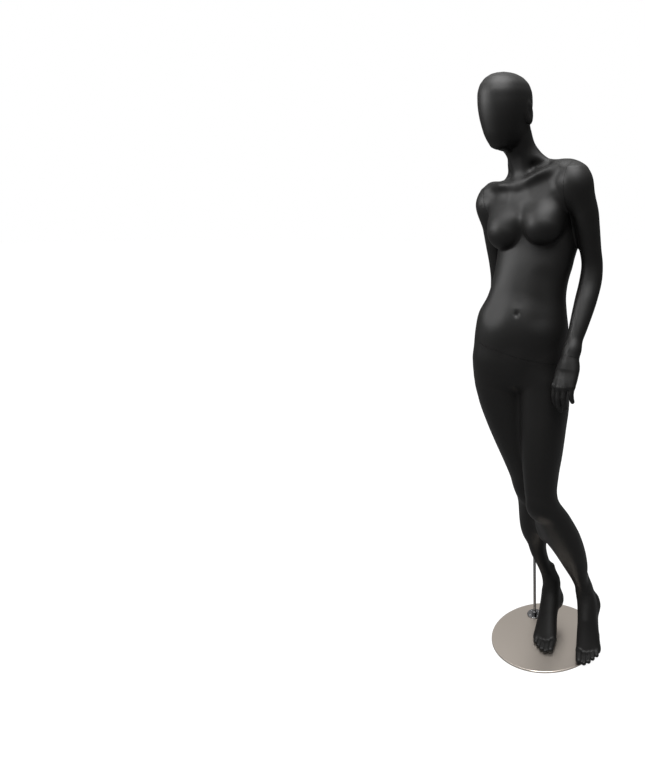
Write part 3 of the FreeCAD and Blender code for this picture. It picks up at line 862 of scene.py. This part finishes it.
def area_light(name, place, target, size, power, spread=180):
    """Square lamp of a size in metres and a power in watts, turned to its target."""
    data = bpy.data.lights.new(name, "AREA")
    data.energy = power
    data.size = size
    data.spread = math.radians(spread)
    lamp = bpy.data.objects.new(name, data)
    lamp.location = place
    lamp.rotation_mode = "QUATERNION"
    lamp.rotation_quaternion = (Vector(target) - Vector(place)).to_track_quat("-Z", "Y")
    bpy.context.scene.collection.objects.link(lamp)


def studio_floor():
    reach = FLOOR_REACH
    mesh = bpy.data.meshes.new("studio_floor")
    mesh.from_pydata([(-reach, -reach, 0), (reach, -reach, 0), (reach, reach, 0), (-reach, reach, 0)], [],
                     [(0, 1, 2, 3)])
    floor = bpy.data.objects.new("studio_floor", mesh)
    bpy.context.scene.collection.objects.link(floor)
    made, nodes, links, shader = material("pale_floor", grey(0.5)[:3], 0.0, 0.9)
    shader.inputs["Specular IOR Level"].default_value = 0.0
    path, tone, glow = nodes.new("ShaderNodeLightPath"), nodes.new("ShaderNodeMix"), nodes.new("ShaderNodeMath")
    tone.data_type = "RGBA"
    tone.inputs["A"].default_value = grey(FLOOR_LIT)
    tone.inputs["B"].default_value = grey(FLOOR_SEEN)
    glow.operation = "MULTIPLY"
    glow.inputs[1].default_value = FLOOR_GLOW
    links.new(path.outputs["Is Camera Ray"], tone.inputs["Factor"])
    links.new(path.outputs["Is Camera Ray"], glow.inputs[0])
    links.new(tone.outputs["Result"], shader.inputs["Base Color"])
    links.new(glow.outputs["Value"], shader.inputs["Emission Strength"])
    shader.inputs["Emission Color"].default_value = WHITE
    mesh.materials.append(made)


def studio_world():
    """White where the camera sees it; as light, bright overhead and dim below."""
    world = bpy.data.worlds.new("studio_world")
    world.use_nodes = True
    nodes, links = world.node_tree.nodes, world.node_tree.links
    seen, lit = nodes["Background"], nodes.new("ShaderNodeBackground")
    seen.inputs["Color"].default_value = WHITE
    seen.inputs["Strength"].default_value = 1.0
    lit.inputs["Color"].default_value = WHITE
    place, split = nodes.new("ShaderNodeTexCoord"), nodes.new("ShaderNodeSeparateXYZ")
    rise = nodes.new("ShaderNodeMapRange")
    rise.interpolation_type = "SMOOTHSTEP"
    for socket, value in (("From Min", 0.30), ("From Max", 0.90), ("To Min", 0.09), ("To Max", 1.0)):
        rise.inputs[socket].default_value = value
    links.new(place.outputs["Generated"], split.inputs["Vector"])
    links.new(split.outputs["Z"], rise.inputs["Value"])
    links.new(rise.outputs["Result"], lit.inputs["Strength"])
    path, mix = nodes.new("ShaderNodeLightPath"), nodes.new("ShaderNodeMixShader")
    links.new(path.outputs["Is Camera Ray"], mix.inputs["Fac"])
    links.new(lit.outputs["Background"], mix.inputs[1])
    links.new(seen.outputs["Background"], mix.inputs[2])
    links.new(mix.outputs["Shader"], nodes["World Output"].inputs["Surface"])
    bpy.context.scene.world = world


VIEW_AZIMUTH = math.radians(14.0)
CAMERA_DISTANCE = 1.902
CAMERA_HEIGHT = 1.397
CAMERA_PITCH = math.radians(14.39)
SENSOR = 36.0                   # mm, along the frame's longer side
LENS = 28.837                   # mm
FRAME_SHIFT = 0.28837           # the figure stands right of the frame's middle


def camera():
    """Camera on a circle round the base's centre, looking down at it from the figure's front left."""
    data = bpy.data.cameras.new("photo_camera")
    data.sensor_fit = "AUTO"
    data.sensor_width = SENSOR
    data.lens = LENS
    data.shift_x = -FRAME_SHIFT
    eye = bpy.data.objects.new("photo_camera", data)
    away = Vector((-math.sin(VIEW_AZIMUTH), math.cos(VIEW_AZIMUTH), 0))
    eye.location = -away * CAMERA_DISTANCE + Vector((0, 0, CAMERA_HEIGHT))
    sight = away * math.cos(CAMERA_PITCH) - Vector((0, 0, math.sin(CAMERA_PITCH)))
    eye.rotation_mode = "QUATERNION"
    eye.rotation_quaternion = sight.to_track_quat("-Z", "Y")
    bpy.context.scene.collection.objects.link(eye)
    bpy.context.scene.camera = eye


studio_floor()
studio_world()
area_light("top_softbox", (0.0, -0.9, 3.8), (-0.05, 0, 1.0), 2.6, 210)
area_light("key_softbox", (-2.2, -1.0, 2.35), (-0.05, 0, 1.62), 1.1, 5.5, 46)
camera()
bpy.context.scene.view_settings.view_transform = "Standard"
